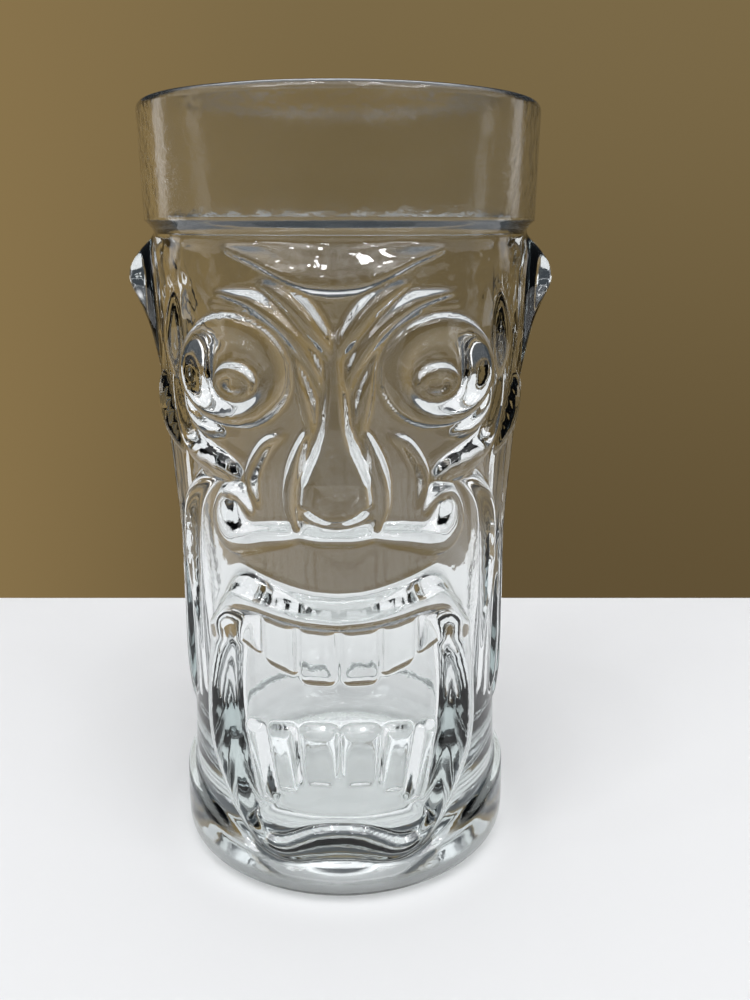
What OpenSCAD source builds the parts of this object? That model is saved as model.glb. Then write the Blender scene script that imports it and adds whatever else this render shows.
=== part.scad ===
// A tall tiki tumbler: a drinking glass pressed in one piece, with a shouting carved face in relief.
// Each node is a zone or a carved feature of that one moulding, and neighbours meet face to face.
// Millimetres. The origin is the middle of the foot, +Z is up, the face looks along -Y, and "left"
// is the side at -X.

/* [Glass] */
// Total height
height = 160; // [144:1:176]
// Outer radius at the rim
rim_r = 40; // [37:0.5:43]
// Thickness of the wall at the rim
rim_t = 3; // [2.4:0.1:3.4]
// Radius of the inside just above its rounded floor
well_r = 28; // [26:0.5:29]
// Thickness of the solid bottom
bottom_t = 9; // [7:0.5:10]
// Radius of the rounded corner between the inside floor and the wall
well_fillet = 5; // [3:0.5:6]
// Radius of the shallow hollow under the foot
punt_r = 27; // [22:0.5:28]
// Depth of that hollow
punt_depth = 2; // [1:0.5:3]

/* [Carving] */
// How deep the open mouth is sunk into the wall
mouth_depth = 1.6; // [0.8:0.1:1.8]
// How far the teeth stand out of the sunk mouth
tooth_rise = 1.2; // [0.5:0.1:1.5]
// How strongly the carving stands out, as a multiple of its usual depth
relief = 1; // [0.6:0.05:1.2]

/* [Hidden] */

glass = "powderblue";
usual_height = 160;   // the height and rim radius that the carving's points are given for
usual_rim_r = 40;
tall = height / usual_height;
wide = rim_r / usual_rim_r;
$fn = 96;

// ---- the turned body -------------------------------------------------------------------------

// Outer outline, as [height above the table, radius], from the foot to the lip
outline = [[0, 34], [2, 35.9], [6, 37.4], [12, 37.6], [17, 36.8], [22, 35.8], [28, 35], [38, 34.6],
           [62, 34.6], [78, 35], [95, 36.2], [112, 37.6], [126, 38.3], [134, 38.2], [136.5, 38.4],
           [138, 39.7], [158.5, 40]];
profile = [for (p = outline) [p.x * tall, p.y * wide]];
neck_low = 134 * tall;
neck_high = 138 * tall;
lip_r = rim_t / 2;                  // the rim is rounded to a half circle
lip_z = height - lip_r;
brow_z = 100 * tall;                // the wall is in three zones, which meet at these two heights
lip_top_z = 66 * tall;

function outer_r(z) = lookup(z, profile);
function inner_r(z) = well_r + (rim_r - rim_t - well_r) * (z - bottom_t) / (lip_z - bottom_t);
function arc(centre, r, from, to, steps) =
    [for (i = [0:steps]) let (a = from + (to - from) * i / steps) centre + r * [cos(a), sin(a)]];

// The part of the outer outline between two heights, as [radius, height] and moved in by depth
function outer_line(low, high, depth = 0) =
    [[outer_r(low) - depth, low],
     for (p = profile) if (p.x > low && p.x < high) [p.y - depth, p.x],
     [outer_r(high) - depth, high]];

module turned(points) {
    rotate_extrude() polygon(points);
}

module rim_band() {
    turned(concat([[inner_r(neck_high), neck_high], [outer_r(neck_high), neck_high]],
                  arc([rim_r - lip_r, lip_z], lip_r, 0, 180, 12)));
}

module neck() {
    turned(concat(outer_line(neck_low, neck_high),
                  [[inner_r(neck_high), neck_high], [inner_r(neck_low), neck_low]]));
}

// A zone of the wall above the floor's rounded corner
module wall(low, high) {
    turned(concat(outer_line(low, high), [[inner_r(high), high], [inner_r(low), low]]));
}

// The lowest zone, with the floor's rounded corner, and with the mouth sunk into it
module wall_lower() {
    corner = [inner_r(bottom_t + well_fillet) - well_fillet, bottom_t + well_fillet];
    difference() {
        turned(concat(outer_line(bottom_t, lip_top_z),
                      [[inner_r(lip_top_z), lip_top_z]],
                      arc(corner, well_fillet, 0, -90, 6)));
        difference() {
            mouth_prism();
            core(mouth_depth);
        }
    }
}

module base() {
    turned(concat([[0, punt_depth], [punt_r - 2 * punt_depth, punt_depth], [punt_r, 0]],
                  outer_line(0, bottom_t),
                  [[0, bottom_t]]));
}

// A solid bar of the outer outline, moved in by depth: what lies behind the carving
module core(depth) {
    low = bottom_t;
    high = neck_low;
    turned(concat([[0, low]], outer_line(low, high, depth), [[0, high]]));
}

// ---- the carving -----------------------------------------------------------------------------

// A point on the wall is [azimuth in degrees from the middle of the face, height]. A stroke is a
// list of sections [azimuth, height of one edge, azimuth, height of the other edge, rise between].
function on_wall(p, rise) =
    let (z = p.y * tall, r = outer_r(z) + rise) [r * sin(p.x), -r * cos(p.x), z];
function edge_a(s) = [s[0], s[1]];
function edge_b(s) = [s[2], s[3]];
function middle(s) = (edge_a(s) + edge_b(s)) / 2;

// A smooth curve through a list of points or sections, with steps between each two of them
function bend(a, b, c, d, t) =
    (2 * b + (c - a) * t + (2 * a - 5 * b + 4 * c - d) * t * t + (3 * b - a - 3 * c + d) * t * t * t) / 2;
function smooth(p, steps) = let (last = len(p) - 1)
    [for (i = [0:last - 1]) for (j = [0:steps - 1])
        bend(p[max(i - 1, 0)], p[i], p[i + 1], p[min(i + 2, last)], j / steps),
     p[last]];

top_steps = 4;       // how many flats a stroke's crown is made of
foot_steps = 3;      // and its foot on the wall
ring_size = top_steps + foot_steps;

// One closed outline across a stroke: over the crown from edge a to edge b, and back along the wall
function section_ring(s) =
    [for (j = [0:top_steps]) let (t = j / top_steps)
        on_wall(edge_a(s) * (1 - t) + edge_b(s) * t, relief * s[4] * pow(sin(180 * t), 0.7)),
     for (j = [1:foot_steps - 1]) let (t = j / foot_steps)
        on_wall(edge_b(s) * (1 - t) + edge_a(s) * t, 0)];

function anticlockwise(s) = let (m = floor(len(s) / 2))
    cross(middle(s[m]) - middle(s[m - 1]), edge_b(s[m]) - edge_a(s[m])) > 0;
function flipped(faces) = [for (f = faces) [f[2], f[1], f[0]]];

module stroke(sections, steps = 3, closed = false) {
    s = smooth(sections, steps);
    n = len(s) - (closed ? 1 : 0);
    sides = [for (i = [0:(closed ? n - 1 : n - 2)]) for (j = [0:ring_size - 1])
        let (a = i * ring_size + j, b = i * ring_size + (j + 1) % ring_size,
             c = ((i + 1) % n) * ring_size + j, d = ((i + 1) % n) * ring_size + (j + 1) % ring_size)
        each [[a, c, b], [b, c, d]]];
    last = (n - 1) * ring_size;
    top = top_steps / 2;             // both ends are closed by a fan from the middle of the crown
    ends = closed ? [] : [for (j = [1:ring_size - 2])
        let (b = (top + j) % ring_size, c = (top + j + 1) % ring_size)
        each [[top, b, c], [last + top, last + c, last + b]]];
    faces = concat(sides, ends);
    polyhedron(points = [for (i = [0:n - 1]) each section_ring(s[i])],
               faces = anticlockwise(s) ? faces : flipped(faces), convexity = 4);
}

// A low oval dome, as a stroke that widens and narrows again
module dome(centre, half_az, half_z, rise) {
    ends = 76;
    stroke([for (a = [-ends:ends / 4:ends])
        [centre.x + half_az * sin(a), centre.y - half_z * cos(a),
         centre.x + half_az * sin(a), centre.y + half_z * cos(a), rise * cos(a)]], steps = 1);
}

// A raised oval ring, from an inner oval to an outer one
module oval_ring(centre, inner, outer, rise) {
    stroke([for (a = [0:15:360])
        [centre.x + inner.x * cos(a), centre.y + inner.y * sin(a),
         centre.x + outer.x * cos(a), centre.y + outer.y * sin(a), rise]], steps = 1, closed = true);
}

module on_left() {
    mirror([1, 0, 0]) children();
}

// The forehead's ledge, under the neck
module headband() {
    stroke([[-30, 133, -30, 133.8, 0.3], [-21, 131, -21, 133.9, 0.9], [-13, 128.3, -13, 133.9, 1.2],
            [-7, 126.5, -7, 133.9, 1.3], [0, 126.1, 0, 133.9, 1.3], [7, 126.5, 7, 133.9, 1.3],
            [13, 128.3, 13, 133.9, 1.2], [21, 131, 21, 133.9, 0.9], [30, 133, 30, 133.8, 0.3]]);
}

// The short brow stroke that springs from the bridge of the nose
module brow_inner() {
    stroke([[20, 127.4, 21, 126.6, 0.3], [13.5, 127.2, 14.5, 124.8, 1.3], [8, 124.4, 10, 121.6, 1.6],
            [4, 121, 6.4, 118.8, 1.5], [1.8, 117.6, 3.6, 116.6, 0.5]]);
}

// The long brow stroke outside it
module brow_outer() {
    stroke([[30, 126, 30.5, 125, 0.4], [21, 125.4, 22, 123.4, 1.4], [13.2, 122.6, 15, 120.2, 1.6],
            [7.6, 118.2, 9.4, 116.4, 1.6], [4.6, 113.6, 6, 112.6, 1.2], [3.4, 110, 4, 109.6, 0.4]]);
}

// The inner stroke, which rounds the eye and runs down beside the nose
module eye_socket() {
    stroke([[33, 124.2, 33, 123.2, 0.4], [22.5, 122.8, 24, 121.2, 1.1], [15.6, 119.4, 17.4, 117.4, 1.3],
            [10.2, 115.4, 12.4, 113.6, 1.4], [7, 110.4, 10.4, 109.2, 1.3], [5.8, 105, 9.8, 104, 1],
            [6.6, 100.6, 8.4, 100.2, 0.4]]);
}

eye = [31, 110.8];
pupil_at = [30, 110.6];

module eye_ring() {
    oval_ring(eye, [10.2, 5.6], [18.2, 9.8], 1.7);
}

module pupil() {
    dome(pupil_at, 9, 4.6, 1);
}

module temple() {
    stroke([[53, 123.6, 54.5, 123.6, 0.4], [51.6, 119.6, 57, 119.8, 1.1], [52, 115, 58, 115.2, 1.2],
            [55, 110.8, 58.4, 111, 0.5]]);
}

// The ear knob with its tapering tail
module ear() {
    stroke([[85, 133.6, 91, 133.6, 0.6], [80, 131.4, 96, 131.4, 3.2], [79, 127.6, 97, 127.6, 5],
            [81, 123.4, 96, 123.4, 3.9], [83.4, 118.6, 93.6, 118.6, 2.2], [85, 113, 91.4, 113, 1.2],
            [86, 107, 89.6, 107, 0.5]]);
}

module nose() {
    stroke([[-1.4, 118.6, 1.4, 118.6, 0.6], [-2, 112, 2, 112, 1.4], [-2.6, 104, 2.6, 104, 2.2],
            [-5.4, 98.6, 5.4, 98.6, 2.9], [-7.4, 92, 7.4, 92, 3.5], [-7.6, 87, 7.6, 87, 3.3],
            [-6, 84.2, 6, 84.2, 1.4]]);
}

module nostril() {
    stroke([[6.8, 99.6, 7.4, 99.6, 0.3], [7.6, 96, 10.4, 96, 1.2], [8.6, 90.6, 13, 90.6, 1.9],
            [8.8, 86.6, 13.8, 86.6, 1.7], [8.2, 84.2, 13.6, 84.2, 0.8]]);
}

module moustache() {
    stroke([[-31, 76.6, -30, 80.6, 0.9], [-26.5, 77.6, -26.5, 81.8, 1.6], [-18.6, 79.3, -19, 83.3, 2],
            [-9, 79.6, -9, 83.2, 2.1], [0, 79.6, 0, 83.4, 2.2], [9, 79.6, 9, 83.2, 2.1],
            [18.6, 79.3, 19, 83.3, 2], [26.5, 77.6, 26.5, 81.8, 1.6], [31, 76.6, 30, 80.6, 0.9]]);
}

// The curl at each end of the moustache
module scroll() {
    stroke([[33, 76.2, 32.6, 79.2, 0.8], [38.5, 76.6, 36.4, 79, 1.6], [41.2, 81, 37.6, 81.4, 1.9],
            [38.6, 86.6, 35.6, 85, 1.9], [33.2, 88.6, 33, 86.2, 1.7], [29.4, 86, 31.4, 84.8, 1.3],
            [29.4, 82.6, 31, 82.8, 0.7]]);
}

module cheek() {
    stroke([[57, 109.6, 58.4, 109, 0.4], [53.6, 104, 57.6, 102.4, 1.2], [49, 98.6, 53.4, 94.8, 1.7],
            [40.6, 96, 43, 91, 1.8], [34, 94, 35.6, 90.6, 1.3], [30.2, 92.2, 31, 90.9, 0.4]]);
}

// The crescent under the outer half of the eye
module lower_lid() {
    stroke([[52.6, 106, 51, 106.4, 0.3], [49, 102, 46.6, 104, 1.1], [42.8, 99.2, 41.6, 101.8, 1.2],
            [37.4, 98.8, 37.4, 100.6, 0.5]]);
}

// The lips, from the middle of the upper lip round to the middle of the lower one. Edge b is the
// edge of the open mouth.
upper_lip_half = [[0, 68.4, 0, 61.5, 1.6], [8, 69, 7, 61.7, 1.6], [16, 70.4, 13.5, 62, 1.7],
                  [23, 71.8, 19.5, 62.5, 1.9], [29, 73.2, 25.5, 63.2, 2.2]];
side_lip = [[29, 73.2, 25.5, 63.2, 2.2], [37, 71.4, 31, 62.6, 2.5], [44, 65, 34, 58.6, 2.7],
            [51, 56, 36.2, 52, 2.9], [56, 45, 37.4, 43.4, 3], [56.5, 35, 37, 33.6, 3],
            [50, 25.8, 34, 24.4, 3], [40.5, 18.6, 30, 18.6, 2.8], [31, 13.8, 24.4, 15.6, 2.4]];
lower_lip_half = [[31, 13.8, 24.4, 15.6, 2.4], [24, 11, 19.2, 15, 2.2], [17, 9.6, 13.6, 16.6, 2.1],
                  [10, 10.2, 7.4, 18.6, 2.1], [0, 11, 0, 19.4, 2.1]];

function other_side(s) = [for (i = [len(s) - 1:-1:1]) [-s[i][0], s[i][1], -s[i][2], s[i][3], s[i][4]]];
function backwards(s) = [for (i = [len(s) - 1:-1:0]) s[i]];

module upper_lip() {
    stroke(concat(other_side(upper_lip_half), upper_lip_half));
}

module side_of_mouth() {
    stroke(side_lip);
}

module lower_lip() {
    half = backwards(lower_lip_half);
    stroke(concat(other_side(half), half));
}

function in_front(p) = let (z = p.y * tall) [outer_r(z) * sin(p.x), z];
half_mouth = [for (s = concat(smooth(upper_lip_half, 1), smooth(side_lip, 2), smooth(lower_lip_half, 1)))
    in_front(edge_b(s))];
mouth_outline = concat(half_mouth, [for (i = [len(half_mouth) - 1:-1:0]) [-half_mouth[i].x, half_mouth[i].y]]);

// An outline in front of the glass, drawn straight back to its middle
module straight_back(outline) {
    rotate([90, 0, 0]) linear_extrude(rim_r + 10) polygon(outline);
}

module mouth_prism() {
    straight_back(mouth_outline);
}

// A row of teeth: each is [azimuth of the near edge, of the far edge, height of the root, of the tip]
upper_row = [[0.6, 12.6, 64, 49], [14.4, 26, 64, 50.6], [27.6, 35, 64, 53.6]];
lower_row = [[0.8, 13.8, 27.4, 39.4], [15.4, 26.6, 24.8, 38], [28.2, 36.6, 21, 36.8]];
tooth_corner = 1.4;

module tooth(near, far, root, tip) {
    way = sign(tip - root);
    low = in_front([near, root]);
    high = in_front([far, tip]);
    corner = tooth_corner * way;
    straight_back(concat(
        [low, [high.x, low.y]],
        [for (a = [0:30:90]) [high.x - tooth_corner * (1 - cos(a)), high.y - corner * (1 - sin(a))]],
        [for (a = [90:-30:0]) [low.x + tooth_corner * (1 - cos(a)), high.y - corner * (1 - sin(a))]]));
}

module teeth(row) {
    intersection() {
        for (t = row) {
            tooth(t[0], t[1], t[2], t[3]);
            on_left() tooth(t[0], t[1], t[2], t[3]);
        }
        mouth_prism();
        difference() {
            core(mouth_depth - tooth_rise);
            core(mouth_depth);
        }
    }
}

module chin() {
    stroke([[-13, 7.8, -13, 8.4, 0.3], [-7, 7.1, -7, 9.4, 0.8], [0, 6.8, 0, 9.8, 0.9],
            [7, 7.1, 7, 9.4, 0.8], [13, 7.8, 13, 8.4, 0.3]]);
}

// Long locks of hair down the side of the glass, in front of the ear, under it and behind it
lock_middles = [[64, 66, 70, 72, 71], [77, 78, 85, 87, 86], [104, 100, 100, 102, 101]];
lock_heights = [[116, 98, 80, 55, 31], [104, 92, 76, 55, 33.5], [116, 98, 78, 55, 34]];
lock_half_widths = [1.4, 3.2, 4, 5.4, 4.6];
lock_rises = [0.3, 1, 1.2, 1.7, 1];

module hair() {
    for (n = [0:2])
        stroke([for (i = [0:4])
            [lock_middles[n][i] - lock_half_widths[i], lock_heights[n][i],
             lock_middles[n][i] + lock_half_widths[i], lock_heights[n][i], lock_rises[i]]]);
}

color(glass) rim_band();
color(glass) neck();
color(glass) wall(brow_z, neck_low);  // wall_upper
color(glass) wall(lip_top_z, brow_z);  // wall_middle
color(glass) wall_lower();
color(glass) base();
color(glass) headband();
color(glass) on_left() brow_inner();  // brow_inner_left
color(glass) brow_inner();  // brow_inner_right
color(glass) on_left() brow_outer();  // brow_outer_left
color(glass) brow_outer();  // brow_outer_right
color(glass) on_left() eye_socket();  // eye_socket_left
color(glass) eye_socket();  // eye_socket_right
color(glass) on_left() eye_ring();  // eye_ring_left
color(glass) eye_ring();  // eye_ring_right
color(glass) on_left() pupil();  // pupil_left
color(glass) pupil();  // pupil_right
color(glass) on_left() temple();  // temple_left
color(glass) temple();  // temple_right
color(glass) on_left() ear();  // ear_left
color(glass) ear();  // ear_right
color(glass) nose();
color(glass) on_left() nostril();  // nostril_left
color(glass) nostril();  // nostril_right
color(glass) moustache();
color(glass) on_left() scroll();  // scroll_left
color(glass) scroll();  // scroll_right
color(glass) on_left() cheek();  // cheek_left
color(glass) cheek();  // cheek_right
color(glass) on_left() lower_lid();  // lower_lid_left
color(glass) lower_lid();  // lower_lid_right
color(glass) upper_lip();
color(glass) on_left() side_of_mouth();  // lip_left
color(glass) side_of_mouth();  // lip_right
color(glass) lower_lip();
color(glass) teeth(upper_row);  // upper_teeth
color(glass) teeth(lower_row);  // lower_teeth
color(glass) chin();
color(glass) on_left() hair();  // hair_left
color(glass) hair();  // hair_right
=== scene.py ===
"""A tall tiki tumbler of clear pressed glass: one closed body of glass with a carved face in relief.

The outside is a turned outline plus a relief, which is a height over a chart of the wall. The chart's
axes are the azimuth from the middle of the face, in degrees, and the height, in millimetres.
"""
import math

import bpy
import numpy as np
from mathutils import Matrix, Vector


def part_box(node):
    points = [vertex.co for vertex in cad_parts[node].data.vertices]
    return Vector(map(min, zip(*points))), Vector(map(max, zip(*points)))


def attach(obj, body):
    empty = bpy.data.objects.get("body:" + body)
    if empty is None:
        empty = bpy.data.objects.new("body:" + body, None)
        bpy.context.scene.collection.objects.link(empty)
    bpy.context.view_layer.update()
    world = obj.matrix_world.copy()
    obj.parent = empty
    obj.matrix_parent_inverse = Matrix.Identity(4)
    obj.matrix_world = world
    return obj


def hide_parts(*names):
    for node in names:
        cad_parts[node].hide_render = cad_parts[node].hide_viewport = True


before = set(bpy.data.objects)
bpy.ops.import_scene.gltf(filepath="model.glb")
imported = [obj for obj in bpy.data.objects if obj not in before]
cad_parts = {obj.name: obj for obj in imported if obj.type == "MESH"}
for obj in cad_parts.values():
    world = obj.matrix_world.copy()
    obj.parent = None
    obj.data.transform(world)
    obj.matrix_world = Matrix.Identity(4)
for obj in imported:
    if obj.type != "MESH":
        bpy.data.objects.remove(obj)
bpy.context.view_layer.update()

# ---- sizes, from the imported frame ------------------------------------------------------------

USUAL_HEIGHT = 160.0    # millimetres: the size that the outline and the carving are drawn for
USUAL_RIM_R = 40.0
band_low, band_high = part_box("rim_band")
HEIGHT = band_high.z
RIM_R = (band_high.x - band_low.x) / 2
TALL = HEIGHT / USUAL_HEIGHT        # metres per drawn millimetre, upwards
WIDE = RIM_R / USUAL_RIM_R          # and outwards

# ---- the turned outline, in drawn millimetres ------------------------------------------------

# Height, radius of the outside
OUTSIDE = [(0, 34), (0.8, 34.8), (2.5, 35.5), (6, 35.7), (12, 35.6), (20, 35.3), (28, 35),
           (38, 34.7), (50, 34.6), (62, 34.6), (78, 35), (95, 36.2), (112, 37.6), (126, 38.3),
           (132, 38.3), (134.4, 37.9), (136, 38), (137.2, 38.8), (138.2, 39.6), (140, 39.75),
           (158.5, 40)]
RIM_T = 3.0
FLOOR_Z = 9.0
WELL_R = 28.0
WELL_FILLET = 11.0
PUNT_R = 28.0
PUNT_DEPTH = 4.0
LIP_R = RIM_T / 2
LIP_Z = USUAL_HEIGHT - LIP_R


def smooth_curve(rows, steps):
    """Points on a smooth curve through the rows, with this many steps between each two of them."""
    p = np.asarray(rows, float)
    padded = np.vstack([p[:1], p, p[-1:]])
    made = []
    for i in range(len(p) - 1):
        a, b, c, d = padded[i:i + 4]
        for t in np.arange(steps) / steps:
            made.append((2 * b + (c - a) * t + (2 * a - 5 * b + 4 * c - d) * t ** 2
                         + (3 * b - a - 3 * c + d) * t ** 3) / 2)
    return np.array(made + [p[-1]])


OUTLINE = smooth_curve(OUTSIDE, 6)


def outer_radius(z):
    return np.interp(z, OUTLINE[:, 0], OUTLINE[:, 1])


def inner_radius(z):
    return WELL_R + (USUAL_RIM_R - RIM_T - WELL_R) * (z - FLOOR_Z) / (LIP_Z - FLOOR_Z)


# ---- the chart of the relief -----------------------------------------------------------------

AZ_STEP = 0.5           # degrees
Z_STEP = 0.25           # millimetres
CHART_TOP = 140         # the rim band above this is plain
MIDDLE_R = 36.5         # the radius at which the chart's degrees are turned into millimetres
CHART_AZ = np.arange(0, 180 + AZ_STEP, AZ_STEP)     # one half of the glass; the other is its mirror image
CHART_Z = np.arange(0, CHART_TOP + Z_STEP, Z_STEP)
MM_PER_DEGREE = MIDDLE_R * math.pi / 180
ACROSS, UP = np.meshgrid(CHART_AZ * MM_PER_DEGREE, CHART_Z, indexing="ij")


def smoothstep(low, high, x):
    t = np.clip((x - low) / (high - low), 0, 1)
    return t * t * (3 - 2 * t)


def round_crown(x):
    return np.where(x < 1, (1 - np.minimum(x, 1) ** 2) ** 2, 0)


def half_round(x):
    return np.sqrt(np.clip(1 - x ** 2, 0, 1))


def stroke(sections, crest=0.5, crown=half_round):
    """The height of a raised stroke all over the chart.

    Each section is [azimuth and height of one edge, azimuth and height of the other, rise], and
    crest is where between the two edges it's highest.
    """
    s = smooth_curve(sections, 10)
    a = s[:, 0:2] * (MM_PER_DEGREE, 1)
    b = s[:, 2:4] * (MM_PER_DEGREE, 1)
    middle = a + (b - a) * crest
    width = np.hypot(*(b - a).T)
    rise = s[:, 4]
    field = np.zeros_like(UP)
    reach = width.max()
    for i in range(len(s) - 1):
        p, q = middle[i], middle[i + 1]
        low = np.minimum(p, q) - reach
        high = np.maximum(p, q) + reach
        i0, i1 = np.searchsorted(CHART_AZ * MM_PER_DEGREE, (low[0], high[0]))
        j0, j1 = np.searchsorted(CHART_Z, (low[1], high[1]))
        if i1 <= i0 or j1 <= j0:
            continue
        x = ACROSS[i0:i1, j0:j1] - p[0]
        y = UP[i0:i1, j0:j1] - p[1]
        d = q - p
        t = np.clip((x * d[0] + y * d[1]) / max(d @ d, 1e-9), 0, 1)
        off_x = x - t * d[0]
        off_y = y - t * d[1]
        to_b = (b[i] - a[i]) @ np.array([-d[1], d[0]]) > 0
        left = d[0] * off_y - d[1] * off_x > 0
        share = np.where(left == to_b, 1 - crest, crest)
        w = (width[i] + t * (width[i + 1] - width[i])) * share
        height = (rise[i] + t * (rise[i + 1] - rise[i])) * crown(np.hypot(off_x, off_y) / w)
        field[i0:i1, j0:j1] = np.maximum(field[i0:i1, j0:j1], height)
    return field


def depth_inside(outline, steps=4):
    """How far inside a closed outline each point is, in millimetres; outside it, less than 0."""
    p = smooth_curve(list(outline) + [outline[0]], steps) * (MM_PER_DEGREE, 1)
    nearest = np.full_like(UP, 1e9)
    inside = np.zeros(UP.shape, bool)
    for a, b in zip(p[:-1], p[1:]):
        d = b - a
        x = ACROSS - a[0]
        y = UP - a[1]
        t = np.clip((x * d[0] + y * d[1]) / max(d @ d, 1e-9), 0, 1)
        nearest = np.minimum(nearest, np.hypot(x - t * d[0], y - t * d[1]))
        if a[1] != b[1]:
            crosses = (a[1] > UP) != (b[1] > UP)
            inside ^= crosses & (ACROSS < a[0] + (UP - a[1]) * d[0] / d[1])
    return np.where(inside, nearest, -nearest)


def plateau(outline, edge, steps=4):
    """1 inside a closed outline and 0 outside it, with a soft edge this many millimetres wide."""
    return smoothstep(-edge / 2, edge / 2, depth_inside(outline, steps))


def pillow(outline, shoulder):
    """1 well inside a closed outline, and rounded down to 0 over a shoulder this many millimetres wide."""
    return half_round(1 - np.clip(depth_inside(outline) / shoulder, 0, 1))


def oval_distance(centre, half_az, half_z):
    """0 in the middle of an oval and 1 on its edge."""
    x = (ACROSS / MM_PER_DEGREE - centre[0]) / half_az
    y = (UP - centre[1]) / half_z
    return np.hypot(x, y)


def soften(field, radius):
    """The field blurred by a bell of this radius, in millimetres."""
    for axis, step in ((0, AZ_STEP * MM_PER_DEGREE), (1, Z_STEP)):
        reach = int(math.ceil(3 * radius / step))
        offsets = np.arange(-reach, reach + 1)
        weights = np.exp(-0.5 * (offsets * step / radius) ** 2)
        weights /= weights.sum()
        padding = [(reach, reach) if a == axis else (0, 0) for a in (0, 1)]
        wide = np.pad(field, padding, mode="symmetric" if axis else "reflect")
        size = field.shape[axis]
        shifted = [np.take(wide, np.arange(k, k + size), axis=axis) for k in range(len(weights))]
        field = sum(w * part for w, part in zip(weights, shifted))
    return field


# ---- the carving ------------------------------------------------------------------------------

def mirrored(rows):
    """The rows of one half of a stroke that crosses the middle of the face, after their mirror images."""
    flipped = [(-r[0], r[1], -r[2], r[3], r[4]) for r in rows[:0:-1]]
    return flipped + list(rows)


# Strokes on one side of the face, in sections as stroke() takes them
HEADBAND = [(0, 125.4, 0, 134.6, 3.3), (7, 125.9, 7, 134.6, 3.3), (13, 127.7, 13, 134.6, 3),
            (21, 130.5, 21, 134.5, 2), (30, 132.7, 30, 134.3, 0.6)]
BROW_INNER = [(20, 127.8, 20.4, 127.2, 0.3), (13.5, 127.9, 14.7, 124.2, 2.6),
              (8, 125.2, 10.2, 121.2, 3.6), (3.6, 121.4, 6.8, 118, 3.6), (1.2, 117.4, 3.6, 115.6, 2),
              (0.8, 114, 2, 113.6, 0.4)]
BROW_OUTER = [(34, 126, 34, 125.4, 0.3), (21, 126, 22, 122.8, 2.8), (13.2, 123.2, 15, 119.5, 3.6),
              (7.2, 118.8, 9.8, 115.6, 3.6), (4, 113.8, 6.4, 111.8, 3), (3, 109.4, 4.6, 108.8, 0.7)]
EYE_SOCKET = [(36, 124, 36, 123.4, 0.3), (22.5, 122.8, 24, 120.6, 1.8), (15.6, 119.4, 17.6, 116.8, 2.6),
              (10, 115.4, 12.8, 113, 3), (6.6, 110.4, 10.6, 109, 3), (5.2, 105, 9.4, 104, 2.4),
              (6, 100.4, 7.6, 100, 0.4)]
EYE = (30, 111.6)               # azimuth and height of its middle
EYE_HALF = (18.4, 10.6)         # and its half sizes, in degrees and millimetres
# Where its ring starts, is highest and ends, from 0 in the eye's middle to 1 on its edge
EYE_RING = (0.38, 0.78, 1)
RING_RISE = 2.8
RING_TILT = 1.2                 # how much higher it is at its highest side, and lower opposite
RING_TURN = 50                  # degrees: how far below the temple that side is
EYE_GROOVE = 0.8
PUPIL = (29.4, 109.6)
PUPIL_HALF = (7.6, 3.5)
PUPIL_RISE = 1.5
DIMPLE = (28.4, 109.2)
DIMPLE_HALF = (4.6, 1.7)
DIMPLE_DEPTH = 0.7
TEMPLE = [(52.6, 124.4, 54.8, 124.4, 0.6), (51, 119.6, 57.6, 119.8, 2), (51.8, 115, 58.6, 115.2, 2.2),
          (55, 109.6, 59, 109.8, 0.8)]
EAR = [(83, 133.8, 89, 133.8, 0.6), (78, 131.6, 94, 131.6, 3), (75, 127.4, 96, 127.4, 5.7),
       (76, 123.4, 94, 123.4, 4.4), (78, 118.6, 91, 118.6, 2.8), (80, 113, 90, 113, 1.9),
       (81, 106, 88, 106, 1.2)]
# Height, half width of its front, half width where its sides end (in degrees), rise
NOSE = [(84, 7.6, 11.4, 5), (87, 8.2, 12, 5.6), (92, 7.6, 11, 5.6), (96, 5.2, 8.4, 5),
        (99, 3.2, 6.4, 4.4), (102, 2, 5, 3.8), (107, 1.3, 4, 3), (112, 1, 3.2, 2.1),
        (119, 0.4, 2, 0.6)]
NOSE_LOW = 84.4
NOSE_ROUND = 2.6        # how much higher its bottom is at the sides
NOSTRIL = [(7, 102, 8, 102, 0.5), (8.4, 98, 11.6, 98.6, 2.4), (9, 92, 15, 93.4, 3.6),
           (9.6, 86.8, 15.8, 87.6, 4), (9.6, 83.6, 13.8, 83, 3)]
MOUSTACHE = [(10.6, 82.8, 10.6, 79.4, 2.4), (16, 82.8, 15, 78.4, 3), (22, 82.4, 21, 77.4, 3),
             (28, 81.8, 28, 76, 3), (32, 82.6, 35.4, 75.4, 3), (33.4, 84.6, 40.4, 78.6, 3),
             (33.2, 86, 40.8, 84.4, 2.9), (32, 86.6, 37, 89.4, 2.7), (30, 85.8, 31, 89.6, 2.2),
             (28.8, 83.8, 28, 86, 0.8)]
NOSE_BASE = [(0, 78.9, 0, 82.5, 3.4), (5, 78.9, 5, 82.5, 3.4), (9.4, 79.2, 9.4, 82.7, 3)]
NOSE_RIM = [(0, 82.7, 0, 84.1, 2.6), (4.4, 83, 3.8, 84.5, 2.6), (9.4, 84.2, 7.4, 86, 2.8),
            (11.4, 87, 9.4, 88, 2.4)]
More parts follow.
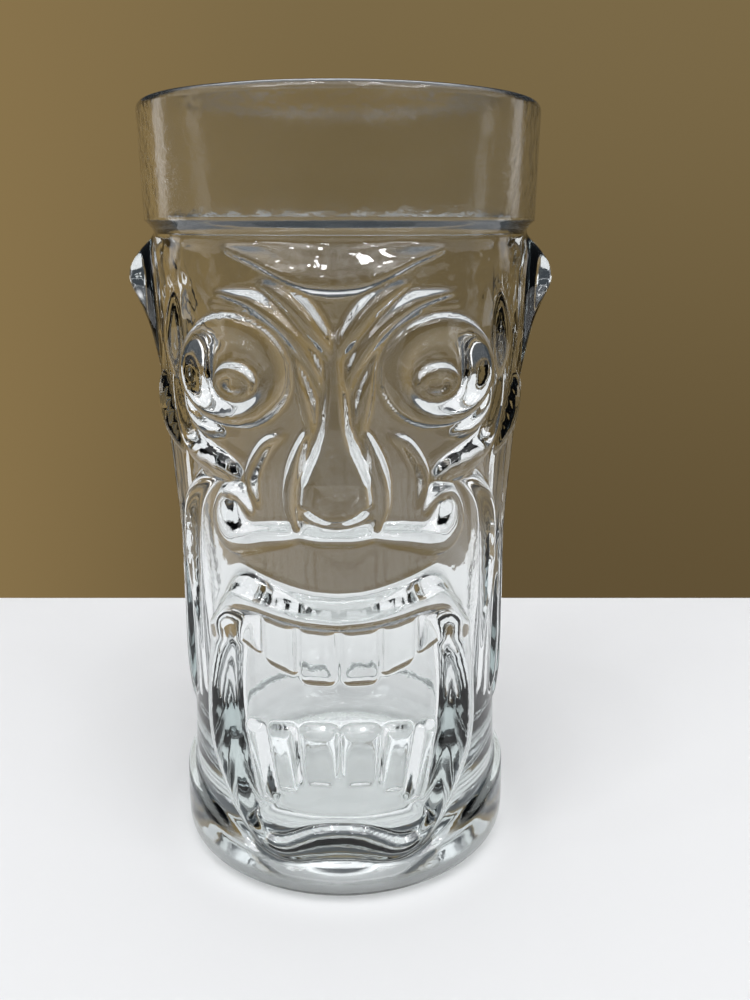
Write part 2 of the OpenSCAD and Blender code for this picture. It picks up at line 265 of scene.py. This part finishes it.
# Halves of outlines that cross the middle of the face at both ends, as azimuths and heights
PHILTRUM_EDGE = [(0, 80.8), (10, 80.6), (16, 80), (24, 78.4), (31, 77), (33, 75), (31, 73.8), (25, 72.2),
                 (17, 70.6), (9, 69.2), (0, 68.6)]
GUM_EDGE = [(0, 28.4), (6, 28), (13.5, 26.6), (20.5, 24), (26, 21.2), (31, 18), (31, 12), (0, 12)]
CHEEK = [(57, 110, 59, 108.6, 0.8), (53.4, 104.2, 58, 102, 1.7), (49, 98.9, 53.8, 94.4, 2.1),
         (40.4, 96.6, 43, 90.6, 2.2), (33.6, 94.6, 35.6, 90, 1.9), (30, 92.4, 31, 90.8, 0.8)]
LEAF = [(68, 110, 71, 110, 0.6), (65, 105, 71.4, 105, 2.4), (62, 99, 69, 98, 2.6),
        (60, 94.6, 62, 93.6, 1)]
FOLD = [(15, 99.6, 16, 100.6, 0.3), (19.6, 97.4, 22.4, 99, 1.3), (24.6, 91.4, 28.4, 92.4, 1.6),
        (24.6, 86.6, 26.6, 85.8, 0.4)]
LAUGH_LINE = [(36, 90.6, 37.6, 91.6, 0.5), (45, 88, 47.4, 91, 1.7), (53.4, 82, 57.6, 84.4, 2.4),
              (57, 72, 61.6, 73, 2.4), (59, 61, 62.4, 61, 1.6), (60, 50, 61.4, 50, 0.5)]
LOWER_LID = [(53, 106.4, 50.6, 106.8, 0.6), (49.4, 101.6, 46.2, 104.4, 1.9),
             (42.8, 98.7, 41.4, 102.2, 2.2), (37, 98.5, 37, 101, 1)]
LIPS_EDGE = [(0, 68.6), (8, 69.2), (16, 70.6), (23, 72), (29.5, 73), (37, 71), (43.4, 64.8), (48, 56),
             (51, 45), (51.2, 35), (47, 26), (39, 17.8), (31, 12), (24, 9.2), (17, 8.8), (10, 9.8),
             (0, 10.6)]
MOUTH_EDGE = [(0, 61.3), (7, 61.5), (13.5, 61.8), (19.5, 62.3), (25.5, 63), (31, 62.4), (35, 58.6),
              (37.6, 52), (39, 43.4), (38, 33.6), (35.4, 24.4), (32.4, 18), (28.6, 14.6), (24, 13.4),
              (19, 13.8), (13.6, 15.6), (7.4, 17.4), (0, 18)]
CHIN = [(0, 6.2, 0, 10, 1.2), (7, 6.6, 7, 9.7, 1.1), (13.5, 7.6, 13.5, 8.6, 0.5)]
# Azimuth, and how high up the flared foot reaches there
FLARE_TOP = [(0, 7.4), (19, 7.8), (30, 10), (48, 13), (61, 15), (90, 17.6), (180, 18)]
FLARE = 2
MOUTH_DEPTH = 1.8       # how far the mouth is sunk under the wall
GUM_RISE = 1.3          # over the bottom of the mouth
SCOOP = 2               # how far the dish above the upper lip stands out at its top
CRISP = 0.25            # radii of the softening: of the fine strokes
GENTLE = 0.65           # and of the lips, ears, hair and foot
# Near and far edges at the root, its height, then near and far edges and their heights at the tip
UPPER_TEETH = [(1, 13.4, 66, 1.2, 49, 13.4, 49), (14.6, 27, 66, 14.6, 50.4, 27, 52.6),
               (28.4, 36.6, 66, 28.4, 54, 36, 55.4)]
LOWER_TEETH = [(0.9, 12, 26, 0.9, 39.4, 14, 39.2), (13.2, 22, 24, 15.4, 39, 26.8, 38.2),
               (23.4, 29, 21, 28.4, 38, 37, 37.4)]
TOOTH_CORNER = 0.25     # how far back a tip's corners start, as a part of its width
TOOTH_STEP = 1.1        # its steep edge
TOOTH_BULGE = 0.7       # and what its middle adds
# Locks of hair down the side, as (azimuth of the middle, height, half width, rise)
LOCKS = [
    [(66, 122, 1, 0.3), (69, 106, 2.2, 1.2), (66, 92, 2.4, 1.4), (69, 76, 2.6, 1.6), (72, 55, 3, 1.7),
     (72, 42, 2.6, 1.5), (72, 37, 1.6, 0.8)],
    [(77, 116, 1.6, 0.6), (78, 104, 2.4, 1.2), (76, 90, 2.6, 1.4), (79, 74, 2.4, 1.3), (80, 58, 3, 1.6),
     (80, 42, 3, 1.6), (80, 34, 2, 0.8)],
    [(87, 112, 2, 0.8), (87, 100, 2.8, 1.2), (86, 86, 3, 1.5), (88, 70, 3, 1.2), (90, 56, 3.2, 1.6),
     (90, 42, 3, 1.6), (90, 32, 2, 0.8)],
    [(104, 124, 3, 0.6), (102, 106, 4.4, 1.6), (100, 88, 4.4, 1.8), (100, 70, 4.4, 1.7), (101, 50, 4.6, 2),
     (101, 38, 4, 1.8), (101, 32, 2.4, 0.8)]]


def lock_of_hair(rows):
    """The height of one lock, from its middle line and half widths."""
    return stroke([(az - w, z, az + w, z, rise) for az, z, w, rise in rows])


def tooth_outline(near, far, root, near_tip, near_z, far_tip, far_z):
    """Straight sides, and two rounded corners at the tip."""
    roots = np.array([(near, root), (far, root)])
    tips = np.array([(near_tip, near_z), (far_tip, far_z)])
    along = tips[1] - tips[0]
    made = [roots[0], roots[1]]
    for corner, side, way in ((tips[1], roots[1] - tips[1], -1), (tips[0], roots[0] - tips[0], 1)):
        back = corner + side * TOOTH_CORNER * abs(along[0]) * MM_PER_DEGREE / abs(side[1])
        on = corner + along * TOOTH_CORNER * way
        bend = [(1 - t) ** 2 * back + 2 * t * (1 - t) * corner + t ** 2 * on
                for t in (0, 0.25, 0.5, 0.75, 1)]
        made += bend if way < 0 else bend[::-1]
    return made


def tooth(*corners):
    """A tooth's height: a steep step all round, and a face that bulges a little in the middle."""
    inside = depth_inside(tooth_outline(*corners), steps=1)
    return TOOTH_STEP * smoothstep(-0.35, 0.35, inside) + TOOTH_BULGE * smoothstep(0, 2, inside)


def whole(edge):
    """A closed outline from its half on one side of the face."""
    return edge + [(-az, z) for az, z in edge[-2:0:-1]]


def eye_relief():
    """A ring that's highest below the eye and at the temple, a groove round it, and a dimpled disc in it."""
    out = oval_distance(EYE, *EYE_HALF)
    turn = np.arctan2((UP - EYE[1]) / EYE_HALF[1], (ACROSS / MM_PER_DEGREE - EYE[0]) / EYE_HALF[0])
    rise = RING_RISE + RING_TILT * np.cos(turn + math.radians(RING_TURN))
    start, top, end = EYE_RING
    fall = half_round(np.clip((out - top) / (end - top), 0, 1))
    ring = rise * smoothstep(start, top, out) * fall
    groove = EYE_GROOVE * smoothstep(0.96, 1.04, out) * (1 - smoothstep(1.04, 1.14, out))
    disc = PUPIL_RISE * (1 - smoothstep(0.8, 1.05, oval_distance(PUPIL, *PUPIL_HALF)))
    dimple = DIMPLE_DEPTH * (1 - smoothstep(0.5, 1, oval_distance(DIMPLE, *DIMPLE_HALF)))
    return np.maximum(ring, disc) - groove - dimple


def nose_relief():
    """A flat front with steep sides and a rounded bottom."""
    z, front, foot, rise = (np.array(column) for column in zip(*NOSE))
    across = ACROSS / MM_PER_DEGREE
    inner = np.interp(UP, z, front)
    outer = np.interp(UP, z, foot)
    sides = 1 - smoothstep(0, 1, (across - inner) / (outer - inner))
    low = NOSE_LOW + NOSE_ROUND * np.clip(across / front[0], 0, 1) ** 2
    ends = smoothstep(-0.6, 0.8, UP - low) * (1 - smoothstep(z[-1] - 1, z[-1] + 1, UP))
    return np.interp(UP, z, rise) * sides * ends


def flare_relief():
    """The foot stands out below a line that dips towards the front."""
    line = np.interp(ACROSS / MM_PER_DEGREE, *zip(*FLARE_TOP))
    return FLARE * (1 - smoothstep(-0.8, 1, UP - line)) * smoothstep(0, 3, UP)


def lips_relief():
    """A rounded band down the sides of the mouth and under it, and a lip above it that rises in a sweep."""
    outside = depth_inside(whole(LIPS_EDGE), steps=8)
    inside = -depth_inside(whole(MOUTH_EDGE), steps=8)
    rise = np.interp(UP, [8, 16, 30, 57, 61], [1.2, 1.8, 3.2, 3.4, 5])
    outer_slope = np.interp(UP, [60, 65], [2.6, 3.6])
    inner_slope = np.interp(UP, [59, 63], [2.2, 3])
    climb = np.clip(outside / outer_slope, 0, 1)
    swept = np.interp(climb, [0, 0.45, 1], [0, 0.16, 1])
    above = smoothstep(60, 65, UP)
    upper = np.minimum(swept, np.clip(inside / inner_slope, 0, 1))
    outer_shoulder = 4.2
    inner_shoulder = 3.4
    sides = half_round(1 - np.clip(np.minimum(outside / outer_shoulder, inside / inner_shoulder), 0, 1))
    return rise * (sides + (upper - sides) * above)


def carved_relief():
    """The height of the carving over the turned outline, all over the chart."""
    crisp = [stroke(mirrored(HEADBAND), crest=0.14, crown=round_crown)]
    crisp += [stroke(rows) for rows in (BROW_INNER, BROW_OUTER, EYE_SOCKET, TEMPLE, LEAF, CHEEK,
                                        LOWER_LID, NOSTRIL, FOLD, LAUGH_LINE)]
    crisp += [stroke(MOUSTACHE, crest=0.6), nose_relief()]
    crisp += [stroke(mirrored(rows)) for rows in (NOSE_BASE, NOSE_RIM, CHIN)]
    soft = [stroke(EAR, crown=round_crown), flare_relief()]
    soft += [lock_of_hair(rows) for rows in LOCKS]
    scoop = np.interp(UP, [68.4, 79], [0, SCOOP]) * plateau(whole(PHILTRUM_EDGE), 0.8)
    mouth = plateau(whole(MOUTH_EDGE), 1.2, steps=3)
    gum = GUM_RISE * pillow(whole(GUM_EDGE), 2)
    teeth = np.maximum.reduce([tooth(*t) for t in UPPER_TEETH + LOWER_TEETH] + [gum])
    clear = smoothstep(1.0, 1.1, oval_distance(EYE, *EYE_HALF))
    raised = soften(np.maximum.reduce(crisp) * clear + eye_relief(), CRISP)
    gentle = soften(np.maximum.reduce(soft + [lips_relief()]), GENTLE)
    sunk = soften(mouth * (teeth - MOUTH_DEPTH), 0.2)
    return np.maximum.reduce([raised, gentle, soften(scoop, 0.3)]) + sunk


RELIEF = carved_relief()


def relief_at(azimuths, heights):
    """The relief at each azimuth, in degrees, and height."""
    i = np.abs(azimuths) / AZ_STEP
    j = np.clip(heights, 0, CHART_TOP) / Z_STEP
    i0 = np.minimum(i.astype(int), len(CHART_AZ) - 2)
    j0 = np.minimum(j.astype(int), len(CHART_Z) - 2)
    fi, fj = i - i0, j - j0
    low = RELIEF[i0, j0] * (1 - fi) + RELIEF[i0 + 1, j0] * fi
    high = RELIEF[i0, j0 + 1] * (1 - fi) + RELIEF[i0 + 1, j0 + 1] * fi
    return low * (1 - fj) + high * fj


# ---- the mesh --------------------------------------------------------------------------------

def spaced(stops):
    """Values from stop to stop, about a step apart."""
    made = []
    for (start, step), (end, _) in zip(stops[:-1], stops[1:]):
        made += list(np.linspace(start, end, max(1, round((end - start) / step)), endpoint=False))
    return np.array(made + [stops[-1][0]])


# (Start, step), (next start, step), ..., (end, none): degrees from the middle of the face, close together
# over the face, and then millimetres up the outside, close together where it's carved
COLUMN_STOPS = [(0, 0.68), (62, 1.2), (106, 3.7), (180, None)]
CARVED_STOPS = [(0.5, 0.6), (14, 0.5), (134, 0.45), (139, 2.5), (LIP_Z, None)]
WELL_STEP = 12          # millimetres between rings down the plain well
ROUND_STEPS = 10        # over the rim's round lip
FILLET_STEPS = 16       # round the bottom of the well


def columns():
    """Azimuths round the whole glass."""
    half = spaced(COLUMN_STOPS)
    return np.concatenate([-half[-1:0:-1], half[:-1]])


def turned_rings():
    """Each ring's radius, height and whether it's carved, from under the foot to the well's floor."""
    rings = [(r, PUNT_DEPTH * (1 - (r / PUNT_R) ** 2), False) for r in range(3, 28, 3)]
    rings += [(PUNT_R + 1, 0, False), (32.8, 0, False), (33.7, 0.15, False)]
    rings += [(float(outer_radius(z)), float(z), True) for z in spaced(CARVED_STOPS)]
    for t in np.linspace(0, math.pi, ROUND_STEPS + 1)[1:]:
        rings.append((USUAL_RIM_R - LIP_R + LIP_R * math.cos(t), LIP_Z + LIP_R * math.sin(t), False))
    for drop in spaced([(0, WELL_STEP), (LIP_Z - FLOOR_Z - WELL_FILLET, None)])[1:]:
        z = LIP_Z - drop
        rings.append((float(inner_radius(z)), float(z), False))
    corner_r = float(inner_radius(FLOOR_Z + WELL_FILLET)) - WELL_FILLET
    for t in np.linspace(0, math.pi / 2, FILLET_STEPS + 1)[1:]:
        rings.append((corner_r + WELL_FILLET * math.cos(t),
                      FLOOR_Z + WELL_FILLET * (1 - math.sin(t)), False))
    rings += [(r, FLOOR_Z, False) for r in (16, 9, 3)]
    return rings


def glass_mesh():
    """One closed surface: rings of points up from the middle of the foot, over the rim and down the well."""
    azimuths = columns()
    rings = turned_rings()
    count = len(azimuths)
    turn = np.radians(azimuths)
    radius = np.array([r for r, _, _ in rings])[:, None] * np.ones(count)
    height = np.array([z for _, z, _ in rings])[:, None] * np.ones(count)
    carved = np.array([c for _, _, c in rings])
    around = np.tile(azimuths, (carved.sum(), 1))
    radius[carved] += relief_at(around, height[carved])
    x = radius * WIDE * np.sin(turn)
    y = -radius * WIDE * np.cos(turn)
    verts = np.stack([x, y, height * TALL], axis=-1).reshape(-1, 3)
    lower = (0, 0, PUNT_DEPTH * TALL)
    upper = (0, 0, FLOOR_Z * TALL)
    verts = np.vstack([verts, [lower, upper]])
    ring = np.arange(len(rings) - 1)[:, None] * count
    here = np.arange(count)
    after = (here + 1) % count
    quads = np.stack([ring + here, ring + after, ring + count + after, ring + count + here], axis=-1)
    under = len(verts) - 2
    floor = len(verts) - 1
    last = (len(rings) - 1) * count
    faces = quads.reshape(-1, 4).tolist()
    faces += [(under, b, a) for a, b in zip(here.tolist(), after.tolist())]
    faces += [(floor, last + a, last + b) for a, b in zip(here.tolist(), after.tolist())]
    mesh = bpy.data.meshes.new("tumbler")
    mesh.from_pydata(verts.tolist(), [], faces)
    mesh.validate()
    mesh.shade_smooth()
    return mesh


# ---- material ----------------------------------------------------------------------------------

REFRACTION = 1.5
SURFACE_TINT = (0.985, 0.995, 0.992)
DEPTH_TINT = (0.62, 0.78, 0.8)
DEPTH_DENSITY = 7
FOOT_TOP = 0.6          # the stippled ring that it stands on ends this high, in drawn millimetres
FOOT_ROUGHNESS = 0.5
BAND_LOW = 137          # the smooth rim band starts here
BAND_ROUGHNESS = 0.08
MOTTLE_SIZE = 0.0024    # metres
MOTTLE_ROUGHNESS = 0.05
MOTTLE_DEPTH = 0.00007
MOTTLE_BELOW = 0.3      # how much of the mottle's depth is left under the band
WAVE_SIZE = 0.0053      # the forehead's waviness, in metres
WAVE_DEPTH = 0.00025
WAVES_IN = (85, 100)    # heights where it fades in, and out
WAVES_OUT = (BAND_LOW, 130)
WAVES_FRONT = (0.01, -0.02)     # and where it fades in from the back, in metres behind the middle
WAVES_BEHIND = 0.2      # how much of it is left at the back


class GlassNodes:
    """The node tree of the glass, with the few kinds of node that it's made from."""

    def __init__(self, material):
        self.nodes = material.node_tree.nodes
        self.links = material.node_tree.links
        self.place = self.nodes.new("ShaderNodeTexCoord").outputs["Object"]
        split = self.nodes.new("ShaderNodeSeparateXYZ")
        self.links.new(self.place, split.inputs["Vector"])
        self.height = split.outputs["Z"]
        self.depth = split.outputs["Y"]

    def noise(self, size, detail):
        node = self.nodes.new("ShaderNodeTexNoise")
        node.inputs["Scale"].default_value = 1 / size
        node.inputs["Detail"].default_value = detail
        self.links.new(self.place, node.inputs["Vector"])
        return node.outputs["Fac"]

    def ramp(self, value, start, end, most, least=0):
        """The least where the value is at its start, rising to the most where it's at its end."""
        node = self.nodes.new("ShaderNodeMapRange")
        self.links.new(value, node.inputs["Value"])
        node.inputs["From Min"].default_value = start
        node.inputs["From Max"].default_value = end
        node.inputs["To Min"].default_value = least
        node.inputs["To Max"].default_value = most
        return node.outputs["Result"]

    def up_to(self, heights, most, least=0):
        """The least at the first height, changing to the most at the second, both in drawn millimetres."""
        return self.ramp(self.height, heights[0] * TALL, heights[1] * TALL, most, least)

    def join(self, operation, *values):
        """The values added or multiplied together."""
        total = values[0]
        for value in values[1:]:
            node = self.nodes.new("ShaderNodeMath")
            node.operation = operation
            self.links.new(total, node.inputs[0])
            self.links.new(value, node.inputs[1])
            total = node.outputs["Value"]
        return total

    def bump(self, height, depth, before=None, strength=None):
        node = self.nodes.new("ShaderNodeBump")
        node.inputs["Distance"].default_value = depth
        self.links.new(height, node.inputs["Height"])
        if before:
            self.links.new(before, node.inputs["Normal"])
        if strength:
            self.links.new(strength, node.inputs["Strength"])
        return node.outputs["Normal"]


def clear_glass():
    """Clear glass: a fire-polished forehead with soft waves, a hazy rim band and a stippled foot."""
    material = bpy.data.materials.new("clear_pressed_glass")
    material.use_nodes = True
    glass = GlassNodes(material)
    shader = glass.nodes["Principled BSDF"]
    shader.inputs["Transmission Weight"].default_value = 1
    shader.inputs["IOR"].default_value = REFRACTION
    shader.inputs["Base Color"].default_value = (*SURFACE_TINT, 1)
    depth = glass.nodes.new("ShaderNodeVolumeAbsorption")
    depth.inputs["Color"].default_value = (*DEPTH_TINT, 1)
    depth.inputs["Density"].default_value = DEPTH_DENSITY
    glass.links.new(depth.outputs["Volume"], glass.nodes["Material Output"].inputs["Volume"])
    mottle = glass.noise(MOTTLE_SIZE, 3)
    roughness = glass.join("ADD", glass.ramp(mottle, 0, 1, MOTTLE_ROUGHNESS),
                           glass.up_to((FOOT_TOP, 0), FOOT_ROUGHNESS),
                           glass.up_to((BAND_LOW, BAND_LOW + 1), BAND_ROUGHNESS))
    band = glass.up_to((BAND_LOW, BAND_LOW + 1), 1, MOTTLE_BELOW)
    glass.links.new(roughness, shader.inputs["Roughness"])
    forehead = glass.join("MULTIPLY", glass.up_to(WAVES_IN, 1), glass.up_to(WAVES_OUT, 1),
                          glass.ramp(glass.depth, *WAVES_FRONT, 1, WAVES_BEHIND))
    waves = glass.bump(glass.noise(WAVE_SIZE, 1.5), WAVE_DEPTH, strength=forehead)
    glass.links.new(glass.bump(mottle, MOTTLE_DEPTH, before=waves, strength=band), shader.inputs["Normal"])
    return material


tumbler = bpy.data.objects.new("tumbler", glass_mesh())
bpy.context.scene.collection.objects.link(tumbler)
tumbler.data.materials.append(clear_glass())
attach(tumbler, "root")
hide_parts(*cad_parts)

# ---- stage, light and camera -------------------------------------------------------------------

TABLE_BACK = 0.134      # how far behind the glass the table ends, as in the photograph
TABLE_SIDE = 0.45
TABLE_FRONT = 0.6
TABLE_THICK = 0.02
TABLE_COLOUR = (0.72, 0.725, 0.722)
TABLE_ROUGHNESS = 0.45
# Painted light: the glass gathers light onto the table under its foot, which is painted here as a soft
# emission glow
PAINTED_LIGHT = 0.32
PAINTED_LIGHT_COLOUR = (0.97, 1, 1)
PAINTED_LIGHT_R = 0.026          # metres; it fades out over the edge's width outside this
PAINTED_LIGHT_EDGE = 0.02


def table():
    """A pale table top, with painted light under the glass: a soft emission glow."""
    corners = [(-TABLE_SIDE, -TABLE_FRONT), (TABLE_SIDE, -TABLE_FRONT),
               (TABLE_SIDE, TABLE_BACK), (-TABLE_SIDE, TABLE_BACK)]
    verts = [(x, y, 0) for x, y in corners] + [(x, y, -TABLE_THICK) for x, y in corners]
    sides = [(i, i + 4, (i + 1) % 4 + 4, (i + 1) % 4) for i in range(4)]
    mesh = bpy.data.meshes.new("table")
    mesh.from_pydata(verts, [], [(0, 1, 2, 3), (7, 6, 5, 4)] + sides)
    made = bpy.data.objects.new("table", mesh)
    bpy.context.scene.collection.objects.link(made)
    material = bpy.data.materials.new("pale_table_and_painted_glow")
    material.use_nodes = True
    nodes = material.node_tree.nodes
    links = material.node_tree.links
    shader = nodes["Principled BSDF"]
    shader.inputs["Base Color"].default_value = (*TABLE_COLOUR, 1)
    shader.inputs["Roughness"].default_value = TABLE_ROUGHNESS
    # Painted light: an emission pool round the glass's middle, fading out at its edge
    place = nodes.new("ShaderNodeTexCoord")
    reach = nodes.new("ShaderNodeVectorMath")
    reach.operation = "LENGTH"
    links.new(place.outputs["Object"], reach.inputs[0])
    painted_light_pool = nodes.new("ShaderNodeMapRange")
    painted_light_pool.interpolation_type = "SMOOTHSTEP"
    painted_light_pool.inputs["From Min"].default_value = PAINTED_LIGHT_R
    painted_light_pool.inputs["From Max"].default_value = PAINTED_LIGHT_R + PAINTED_LIGHT_EDGE
    painted_light_pool.inputs["To Min"].default_value = PAINTED_LIGHT
    painted_light_pool.inputs["To Max"].default_value = 0
    links.new(reach.outputs["Value"], painted_light_pool.inputs["Value"])
    links.new(painted_light_pool.outputs["Result"], shader.inputs["Emission Strength"])
    shader.inputs["Emission Color"].default_value = (*PAINTED_LIGHT_COLOUR, 1)
    mesh.materials.append(material)
    return made


table()


class Painter:
    """Paints the world, by direction: a plain ground colour and soft-edged patches over it."""

    def __init__(self, colour):
        world = bpy.data.worlds.new("studio")
        bpy.context.scene.world = world
        world.use_nodes = True
        self.nodes = world.node_tree.nodes
        self.links = world.node_tree.links
        place = self.nodes.new("ShaderNodeTexCoord")
        self.direction = place.outputs["Generated"]
        self.colour = self.nodes.new("ShaderNodeRGB").outputs[0]
        self.colour.default_value = (*colour, 1)

    def along(self, way):
        dot = self.nodes.new("ShaderNodeVectorMath")
        dot.operation = "DOT_PRODUCT"
        self.links.new(self.direction, dot.inputs[0])
        dot.inputs[1].default_value = way
        return dot.outputs["Value"]

    def combine(self, operation, a, b=None):
        node = self.nodes.new("ShaderNodeMath")
        node.operation = operation
        for socket, value in zip(node.inputs, (a, b)):
            if isinstance(value, (int, float)):
                socket.default_value = value
            elif value is not None:
                self.links.new(value, socket)
        return node.outputs[0]

    def step(self, value, low, high):
        """0 where the value is at low and 1 where it's at high, with a smooth change between."""
        node = self.nodes.new("ShaderNodeMapRange")
        node.interpolation_type = "SMOOTHSTEP"
        self.links.new(value, node.inputs["Value"])
        rising = low < high
        node.inputs["From Min"].default_value = min(low, high)
        node.inputs["From Max"].default_value = max(low, high)
        node.inputs["To Min"].default_value = 0 if rising else 1
        node.inputs["To Max"].default_value = 1 if rising else 0
        return node.outputs["Result"]

    def paint(self, mask, colour):
        mix = self.nodes.new("ShaderNodeMix")
        mix.data_type = "RGBA"
        self.links.new(mask, mix.inputs[0])
        self.links.new(self.colour, mix.inputs[6])
        mix.inputs[7].default_value = (*colour, 1)
        self.colour = mix.outputs[2]

    def patch(self, azimuth, elevation, half_width, half_height, soft, colour):
        """A soft rectangle: its middle's azimuth and elevation, and its half sizes as tangents."""
        az = math.radians(azimuth)
        el = math.radians(elevation)
        out = (math.sin(az) * math.cos(el), -math.cos(az) * math.cos(el), math.sin(el))
        side = (math.cos(az), math.sin(az), 0)
        up = Vector(out).cross(Vector(side)) * -1
        ahead = self.along(out)
        safe = self.combine("MAXIMUM", ahead, 0.01)
        across = self.combine("ABSOLUTE", self.combine("DIVIDE", self.along(side), safe))
        rise = self.combine("ABSOLUTE", self.combine("DIVIDE", self.along(tuple(up)), safe))
        mask = self.combine("MULTIPLY", self.step(across, half_width + soft, half_width),
                            self.step(rise, half_height + soft, half_height))
        mask = self.combine("MULTIPLY", mask, self.step(ahead, 0.02, 0.1))
        self.paint(mask, colour)

    def finish(self):
        self.links.new(self.colour, self.nodes["Background"].inputs["Color"])


ROOM = (0.05, 0.058, 0.066)
CEILING = (1.1, 1.1, 1.12)
CEILING_FROM = (0.5, 0.72)      # sines of the elevations where it starts and where it's full
FIGURE = (0.04, 0.045, 0.05)    # the dark place of whoever stands in front of the glass
# Azimuth from the front, elevation, half width and half height as tangents, and the width of the soft edge
FIGURE_PLACE = (0, 4, 0.7, 0.22, 0.2)
# The wall's brown is darkest low down, near the table: painted shade; it is paler higher up and palest to
# the left
WALL_SHADED_BROWN = (0.115, 0.08, 0.035)
WALL_HIGH = (0.2, 0.145, 0.065)
WALL_LEFT = (0.26, 0.18, 0.075)
# Sines of the directions where the wall starts and where it's full: backwards, down from its top, up from
# its foot, then upwards to its paler colour and left to the palest
WALL_BACK = (0.3, 0.6)
WALL_TOP = (0.27, 0.21)
WALL_FOOT = (-0.52, -0.42)
WALL_PALER = (-0.45, 0.3)
WALL_PALEST = (0, 0.5)
# Azimuth, elevation, half width, half height, and brightness
LIGHTS = [(-30, 50, 0.08, 0.18, 4), (26, 52, 0.08, 0.18, 4), (-42, 36, 0.08, 0.04, 8),
          (42, 34, 0.08, 0.04, 7), (-116, 6, 0.05, 0.08, 1.5), (118, 6, 0.05, 0.08, 1.3)]
LIGHT_EDGE = 0.1
# Azimuth and elevation
LAMPS = [(-14, 62), (10, 70), (34, 64), (-48, 66), (-8, 44), (16, 36), (-52, 30), (54, 42),
         (-66, 50), (64, 52), (-24, 56), (24, 58), (-36, 76), (52, 74)]
LAMP_HALF = 0.02
LAMP_EDGE = 0.01
LAMP_COLOUR = (35, 35, 36)


def studio():
    """A room with a pale ceiling, a brown wall behind the glass, and lamps and soft lights in front."""
    world = Painter(ROOM)
    backwards = world.along((0, 1, 0))
    upwards = world.along((0, 0, 1))
    leftwards = world.along((-1, 0, 0))
    world.paint(world.step(upwards, *CEILING_FROM), CEILING)
    world.patch(*FIGURE_PLACE, FIGURE)
    behind = world.combine("MULTIPLY", world.step(backwards, *WALL_BACK), world.step(upwards, *WALL_TOP))
    behind = world.combine("MULTIPLY", behind, world.step(upwards, *WALL_FOOT))
    # The wall's darkest brown, with painted shade low down where it meets the table
    world.paint(behind, WALL_SHADED_BROWN)
    world.paint(world.combine("MULTIPLY", behind, world.step(upwards, *WALL_PALER)), WALL_HIGH)
    world.paint(world.combine("MULTIPLY", behind, world.step(leftwards, *WALL_PALEST)), WALL_LEFT)
    for azimuth, elevation, width, height, strength in LIGHTS:
        world.patch(azimuth, elevation, width, height, LIGHT_EDGE, (strength, strength, strength * 1.02))
    for azimuth, elevation in LAMPS:
        world.patch(azimuth, elevation, LAMP_HALF, LAMP_HALF, LAMP_EDGE, LAMP_COLOUR)
    world.finish()


studio()


CAMERA_PLACE = (0.0071, -0.2052, 0.1371)
CAMERA_DOWN = 16.12     # degrees
LENS = 34.2             # millimetres, on a sensor this wide:
SENSOR = 36


def camera():
    """The photograph's viewpoint: close, and looking a little down."""
    data = bpy.data.cameras.new("camera")
    data.sensor_width = SENSOR
    data.lens = LENS
    data.clip_start = 0.01
    made = bpy.data.objects.new("camera", data)
    made.location = CAMERA_PLACE
    made.rotation_euler = (math.radians(90 - CAMERA_DOWN), 0, 0)
    bpy.context.scene.collection.objects.link(made)
    bpy.context.scene.camera = made


camera()
bpy.context.scene.view_settings.view_transform = "Standard"
